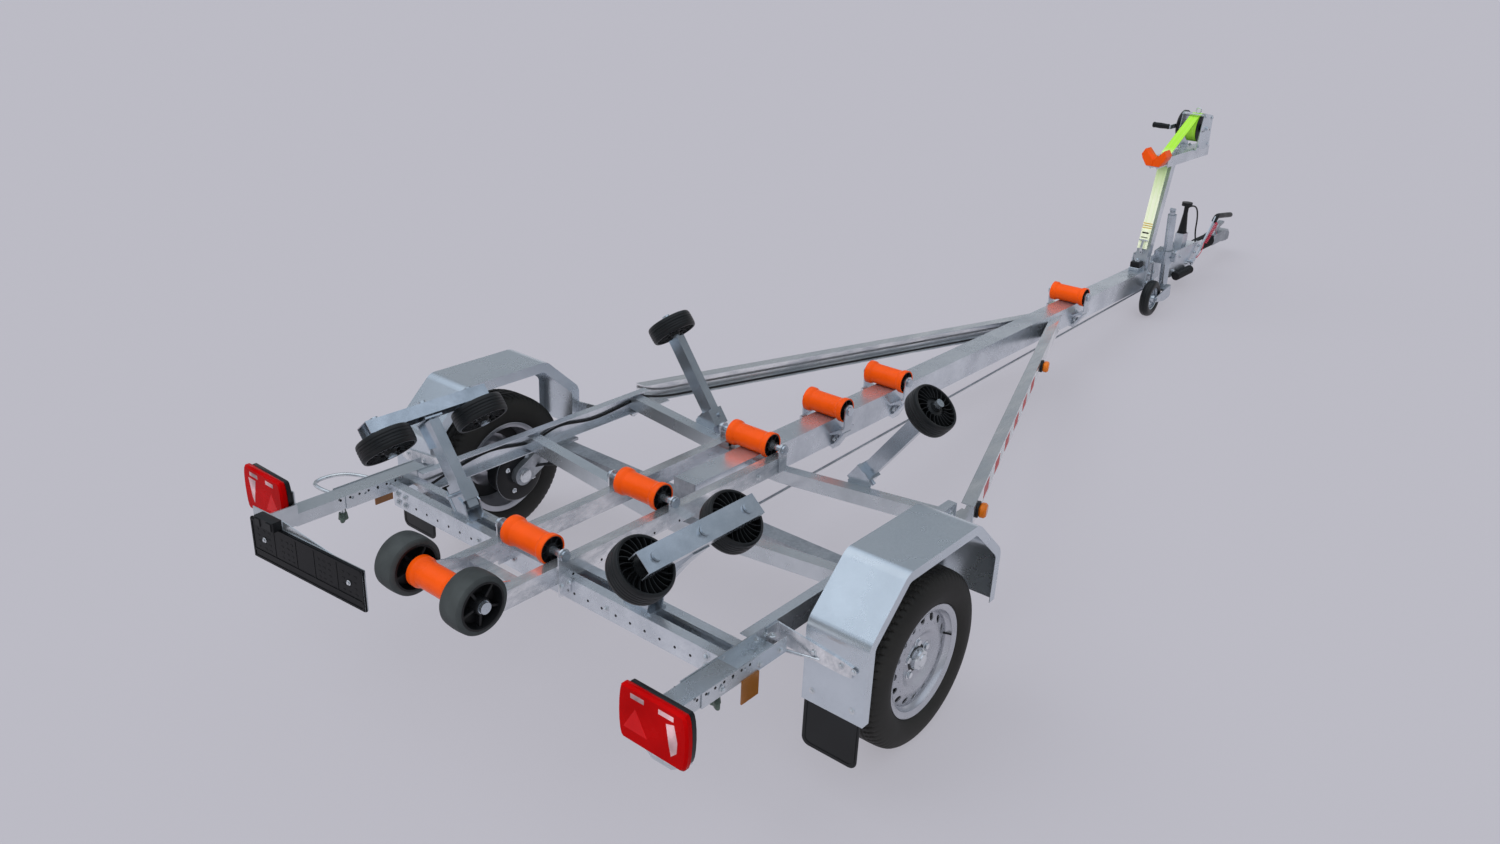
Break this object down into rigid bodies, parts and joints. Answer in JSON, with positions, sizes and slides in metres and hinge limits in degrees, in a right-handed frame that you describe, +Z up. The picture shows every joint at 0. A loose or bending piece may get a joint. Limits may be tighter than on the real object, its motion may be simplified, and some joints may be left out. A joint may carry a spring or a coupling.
{
  "type": "boat trailer",
  "caption": "Braked single-axle boat trailer with keel rollers, tilting bilge wheels, winch post, mudguards, jockey wheel and ball coupling.",
  "frame": {"origin": "on the ground, in the middle of the footprint of the whole trailer as it parks on its tyres and jockey wheel", "axes": "+X forward to the coupling, +Y to the left, +Z up"},
  "size_m": [6.7384, 2.17, 1.1011],
  "materials": {
    "galvanised": "hot-dip galvanised steel, mottled",
    "galvanised_sheet": "bright galvanised sheet",
    "wheel_silver": "silver paint",
    "tyre": "matt black rubber",
    "black_rubber": "matt black rubber and plastic",
    "orange_rubber": "satin orange polyurethane",
    "red_lens": "red lens with white areas",
    "amber_lens": "amber lens",
    "black_plastic": "black plastic",
    "webbing": "fluorescent yellow-green webbing",
    "lever_paint": "zinc plated bar with a black grip"
  },
  "bodies": {
    "chassis": {"arm_reflectors": "amber_lens", "axle": "galvanised", "bilge_posts": "galvanised", "bow_stop": "orange_rubber", "brake_rods": "galvanised", "brake_spring": "black_plastic", "coupling_head": "galvanised", "coupling_housing": "galvanised", "cross_members": "galvanised", "draw_struts": "galvanised", "handbrake_lever": "lever_paint", "jockey_clamp": "galvanised", "jockey_tube": "galvanised", "keel_beam": "galvanised", "lamp_brackets": "galvanised", "light_arms": "galvanised", "light_plug": "black_plastic", "mudflaps": "black_rubber", "mudguard_stays": "galvanised", "mudguards": "galvanised_sheet", "plate_holder": "black_plastic", "post_clamps": "galvanised", "rear_beam": "galvanised", "roller_ladder": "galvanised", "roller_pins": "galvanised", "roller_stirrups": "galvanised", "side_markers": "amber_lens", "side_rails": "galvanised", "tail_lamps": "red_lens", "winch_arm": "galvanised", "winch_cover": "black_plastic", "winch_frame": "galvanised", "winch_post": "galvanised", "winch_strap": "webbing"},
    "wheel_left": {"rim_left": "wheel_silver", "tyre_left": "tyre"},
    "wheel_right": {"rim_right": "wheel_silver", "tyre_right": "tyre"},
    "rocker_left": {"rocker_left": "galvanised"},
    "rocker_right": {"rocker_right": "galvanised"},
    "winch_drum": {"winch_drum": "webbing"},
    "winch_crank": {"winch_crank": "galvanised"},
    "jockey_inner": {"jockey_inner": "galvanised"},
    "jockey_fork": {"jockey_fork": "galvanised"},
    "jockey_wheel": {"jockey_wheel": "black_rubber"},
    "end_roller": {"end_roller": "orange_rubber"},
    "end_wheel_left": {"end_wheel_left": "black_rubber"},
    "end_wheel_right": {"end_wheel_right": "black_rubber"},
    "keel_roller_1": {"keel_roller_1": "orange_rubber"},
    "keel_roller_2": {"keel_roller_2": "orange_rubber"},
    "keel_roller_3": {"keel_roller_3": "orange_rubber"},
    "keel_roller_4": {"keel_roller_4": "orange_rubber"},
    "keel_roller_5": {"keel_roller_5": "orange_rubber"},
    "keel_roller_6": {"keel_roller_6": "orange_rubber"},
    "bilge_wheel_rear_left": {"bilge_wheel_rear_left": "black_rubber"},
    "bilge_wheel_rear_right": {"bilge_wheel_rear_right": "black_rubber"},
    "bilge_wheel_mid_left": {"bilge_wheel_mid_left": "black_rubber"},
    "bilge_wheel_mid_right": {"bilge_wheel_mid_right": "black_rubber"},
    "bilge_wheel_front_left": {"bilge_wheel_front_left": "black_rubber"},
    "bilge_wheel_front_right": {"bilge_wheel_front_right": "black_rubber"}
  },
  "joints": [
    {"name": "wheel_left_spin", "type": "hinge", "parent": "chassis", "child": "wheel_left", "pos_m": [-2.2324, 0.981, 0.2945], "axis": [0, 1, 0], "continuous": true},
    {"name": "wheel_right_spin", "type": "hinge", "parent": "chassis", "child": "wheel_right", "pos_m": [-2.2324, -0.981, 0.2945], "axis": [0, 1, 0], "continuous": true},
    {"name": "keel_roller_1_spin", "type": "hinge", "parent": "chassis", "child": "keel_roller_1", "pos_m": [0.91499, 0, 0.36046], "axis": [0, 1, 0], "continuous": true},
    {"name": "keel_roller_2_spin", "type": "hinge", "parent": "chassis", "child": "keel_roller_2", "pos_m": [-0.86205, 0, 0.47912], "axis": [0, 1, 0], "continuous": true},
    {"name": "keel_roller_3_spin", "type": "hinge", "parent": "chassis", "child": "keel_roller_3", "pos_m": [-1.30207, 0, 0.5085], "axis": [0, 1, 0], "continuous": true},
    {"name": "keel_roller_4_spin", "type": "hinge", "parent": "chassis", "child": "keel_roller_4", "pos_m": [-1.77901, 0, 0.54034], "axis": [0, 1, 0], "continuous": true},
    {"name": "keel_roller_5_spin", "type": "hinge", "parent": "chassis", "child": "keel_roller_5", "pos_m": [-2.36571, 0, 0.57951], "axis": [0, 1, 0], "continuous": true},
    {"name": "keel_roller_6_spin", "type": "hinge", "parent": "chassis", "child": "keel_roller_6", "pos_m": [-2.85262, 0, 0.61203], "axis": [0, 1, 0], "continuous": true},
    {"name": "end_roller_spin", "type": "hinge", "parent": "chassis", "child": "end_roller", "pos_m": [-3.19685, 0, 0.63501], "axis": [0, 1, 0], "continuous": true},
    {"name": "end_wheel_left_spin", "type": "hinge", "parent": "chassis", "child": "end_wheel_left", "pos_m": [-3.19685, 0.1525, 0.63501], "axis": [0, 1, 0], "continuous": true},
    {"name": "end_wheel_right_spin", "type": "hinge", "parent": "chassis", "child": "end_wheel_right", "pos_m": [-3.19685, -0.1525, 0.63501], "axis": [0, 1, 0], "continuous": true},
    {"name": "rocker_left_tilt", "type": "hinge", "parent": "chassis", "child": "rocker_left", "pos_m": [-2.7642, 0.575, 0.78051], "axis": [0.0501, 0.6593, 0.7502], "range_deg": [-15, 15]},
    {"name": "bilge_wheel_rear_left_spin", "type": "hinge", "parent": "rocker_left", "child": "bilge_wheel_rear_left", "pos_m": [-2.95178, 0.575, 0.79303], "axis": [0.0501, 0.6593, 0.7502], "continuous": true},
    {"name": "bilge_wheel_mid_left_spin", "type": "hinge", "parent": "rocker_left", "child": "bilge_wheel_mid_left", "pos_m": [-2.57662, 0.575, 0.76798], "axis": [0.0501, 0.6593, 0.7502], "continuous": true},
    {"name": "bilge_wheel_front_left_spin", "type": "hinge", "parent": "chassis", "child": "bilge_wheel_front_left", "pos_m": [-1.55282, 0.618, 0.76076], "axis": [0.0501, 0.6593, 0.7502], "continuous": true},
    {"name": "rocker_right_tilt", "type": "hinge", "parent": "chassis", "child": "rocker_right", "pos_m": [-2.7642, -0.575, 0.78051], "axis": [-0.0501, 0.6593, -0.7502], "range_deg": [-15, 15]},
    {"name": "bilge_wheel_rear_right_spin", "type": "hinge", "parent": "rocker_right", "child": "bilge_wheel_rear_right", "pos_m": [-2.95178, -0.575, 0.79303], "axis": [-0.0501, 0.6593, -0.7502], "continuous": true},
    {"name": "bilge_wheel_mid_right_spin", "type": "hinge", "parent": "rocker_right", "child": "bilge_wheel_mid_right", "pos_m": [-2.57662, -0.575, 0.76798], "axis": [-0.0501, 0.6593, -0.7502], "continuous": true},
    {"name": "bilge_wheel_front_right_spin", "type": "hinge", "parent": "chassis", "child": "bilge_wheel_front_right", "pos_m": [-1.55282, -0.618, 0.76076], "axis": [-0.0501, 0.6593, -0.7502], "continuous": true},
    {"name": "winch_drum_spin", "type": "hinge", "parent": "chassis", "child": "winch_drum", "pos_m": [2.45011, 0, 1.00162], "axis": [0, 1, 0], "continuous": true},
    {"name": "winch_crank_spin", "type": "hinge", "parent": "chassis", "child": "winch_crank", "pos_m": [2.45011, 0, 1.00162], "axis": [0, 1, 0], "continuous": true},
    {"name": "jockey_lower", "type": "slide", "parent": "chassis", "child": "jockey_inner", "axis": [0.0659, 0, -0.9978], "range_m": [0, 0.18]},
    {"name": "jockey_swivel", "type": "hinge", "parent": "jockey_inner", "child": "jockey_fork", "pos_m": [1.99876, -0.115, 0.11071], "axis": [-0.0659, 0, 0.9978], "range_deg": [-4, 100]},
    {"name": "jockey_wheel_spin", "type": "hinge", "parent": "jockey_fork", "child": "jockey_wheel", "pos_m": [1.81417, -0.115, 0.108], "axis": [0, 1, 0], "continuous": true}
  ],
  "couplings": [
    {"joint": "winch_crank_spin", "follows": "winch_drum_spin", "ratio": 4}
  ]
}
